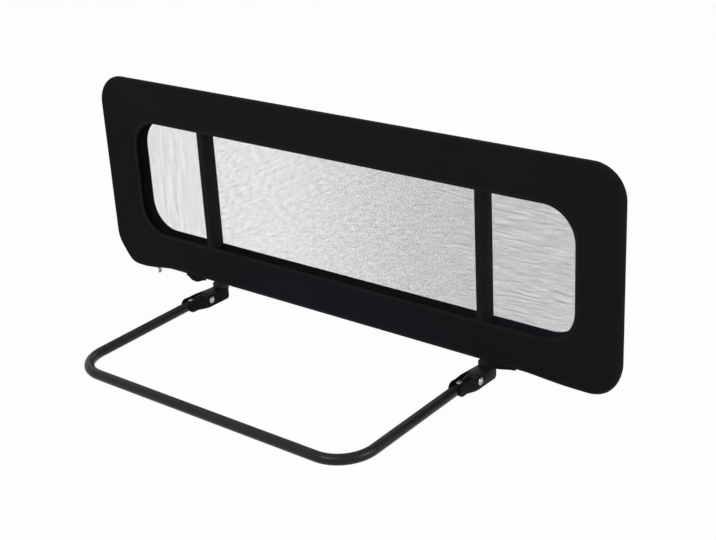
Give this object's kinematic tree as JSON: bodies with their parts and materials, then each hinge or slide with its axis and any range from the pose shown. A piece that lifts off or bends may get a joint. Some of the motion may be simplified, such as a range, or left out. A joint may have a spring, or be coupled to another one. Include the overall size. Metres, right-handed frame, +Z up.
{
  "type": "folding bed guard rail",
  "caption": "Folding bed guard: a long fabric-covered rail with net windows, hinged on a bent tube base that slides under the mattress.",
  "frame": {"origin": "bottom centre of the whole guard's box, on the surface it stands on", "axes": "+X along the rail, -Y towards the bed and the base's bar, +Z up"},
  "size_m": [1.2, 0.4142, 0.442],
  "materials": {
    "black_paint": "satin black powder coat",
    "black_steel": "satin black paint on pressed steel",
    "black_plastic": "fine matt moulded black",
    "bright_steel": "bright plated",
    "spring_steel": "plain zinc plated",
    "black_cloth": "close woven black cloth",
    "band_cloth": "black woven tape",
    "pale_net": "pale grey fine net",
    "grey_plastic": "matt grey"
  },
  "bodies": {
    "base": {"base_tube": "black_paint", "hinge_bracket_left": "black_steel", "hinge_bracket_right": "black_steel", "leg_rivet_left": "bright_steel", "leg_rivet_right": "bright_steel", "leg_end_plug_left": "black_plastic", "leg_end_plug_right": "black_plastic", "pivot_rivet_left": "bright_steel", "pivot_rivet_right": "bright_steel"},
    "rail": {"hinge_knuckle_left": "black_plastic", "hinge_knuckle_right": "black_plastic", "pivot_bush_left": "spring_steel", "pivot_bush_right": "spring_steel", "neck_rivet_left": "black_steel", "neck_rivet_right": "black_steel", "post_left": "black_paint", "post_right": "black_paint", "rail_screw_left": "black_steel", "rail_screw_right": "black_steel", "post_saddle_left": "black_plastic", "post_saddle_right": "black_plastic", "saddle_screw_left": "spring_steel", "saddle_screw_right": "spring_steel", "end_tube_left": "black_paint", "end_tube_right": "black_paint", "top_rail": "black_paint", "bottom_rail": "black_paint", "snap_clip_bottom_left": "spring_steel", "snap_clip_top_left": "spring_steel", "snap_clip_bottom_right": "spring_steel", "snap_clip_top_right": "spring_steel", "cover_border": "black_cloth", "net_front": "pale_net", "net_back": "pale_net", "band_front_left": "band_cloth", "band_front_right": "band_cloth", "band_back_left": "band_cloth", "band_back_right": "band_cloth", "neck_flap_left": "black_cloth", "neck_flap_right": "black_cloth", "zip_chain": "black_plastic", "zip_stop_left": "grey_plastic", "zip_stop_right": "grey_plastic"},
    "button_bottom_left": {"snap_button_bottom_left": "spring_steel"},
    "button_top_left": {"snap_button_top_left": "spring_steel"},
    "button_bottom_right": {"snap_button_bottom_right": "spring_steel"},
    "button_top_right": {"snap_button_top_right": "spring_steel"},
    "slider": {"zip_slider": "grey_plastic"},
    "puller": {"zip_puller": "grey_plastic"}
  },
  "joints": [
    {"name": "rail_fold", "type": "hinge", "parent": "base", "child": "rail", "pos_m": [0, 0.15035, 0.0135], "axis": [1, 0, 0], "range_deg": [0, 90]},
    {"name": "press_bottom_left", "type": "slide", "parent": "rail", "child": "button_bottom_left", "axis": [0, 0, -1], "range_m": [0, 0.0036], "stiffness_N_per_m": 800, "springref_m": -0.003},
    {"name": "press_top_left", "type": "slide", "parent": "rail", "child": "button_top_left", "axis": [0, 0, 1], "range_m": [0, 0.0036], "stiffness_N_per_m": 800, "springref_m": -0.003},
    {"name": "press_bottom_right", "type": "slide", "parent": "rail", "child": "button_bottom_right", "axis": [0, 0, -1], "range_m": [0, 0.0036], "stiffness_N_per_m": 800, "springref_m": -0.003},
    {"name": "press_top_right", "type": "slide", "parent": "rail", "child": "button_top_right", "axis": [0, 0, 1], "range_m": [0, 0.0036], "stiffness_N_per_m": 800, "springref_m": -0.003},
    {"name": "zip_run", "type": "slide", "parent": "rail", "child": "slider", "axis": [1, 0, 0], "range_m": [0, 0.976]},
    {"name": "puller_swing", "type": "hinge", "parent": "slider", "child": "puller", "pos_m": [-0.488, 0.17735, 0.0363], "axis": [0, 1, 0], "range_deg": [-90, 90]}
  ]
}
